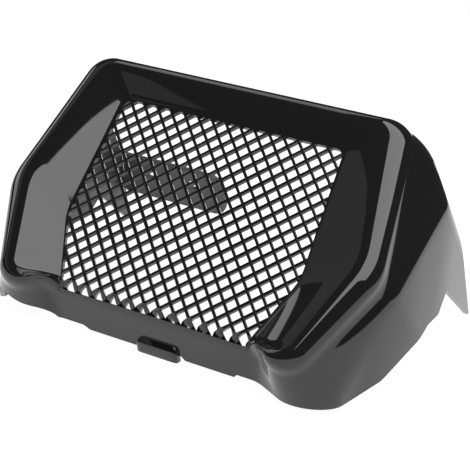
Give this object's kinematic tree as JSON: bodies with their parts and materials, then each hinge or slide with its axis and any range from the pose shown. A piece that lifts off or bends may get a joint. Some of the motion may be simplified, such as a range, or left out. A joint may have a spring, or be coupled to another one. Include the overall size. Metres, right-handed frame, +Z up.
{
  "type": "oil cooler guard",
  "caption": "Open-backed plastic hood with a sunken diamond mesh in front, raised rim, latch tab and rear screw flanges, which shields a motorcycle oil cooler.",
  "frame": {"origin": "middle of the overall box on the ground it stands on", "axes": "+X across the width, -Y towards the mesh front, +Z up"},
  "size_m": [0.2508, 0.2134, 0.1338],
  "materials": {
    "gloss_black": "high gloss"
  },
  "bodies": {
    "root": {"guard": "gloss_black"}
  },
  "joints": []
}
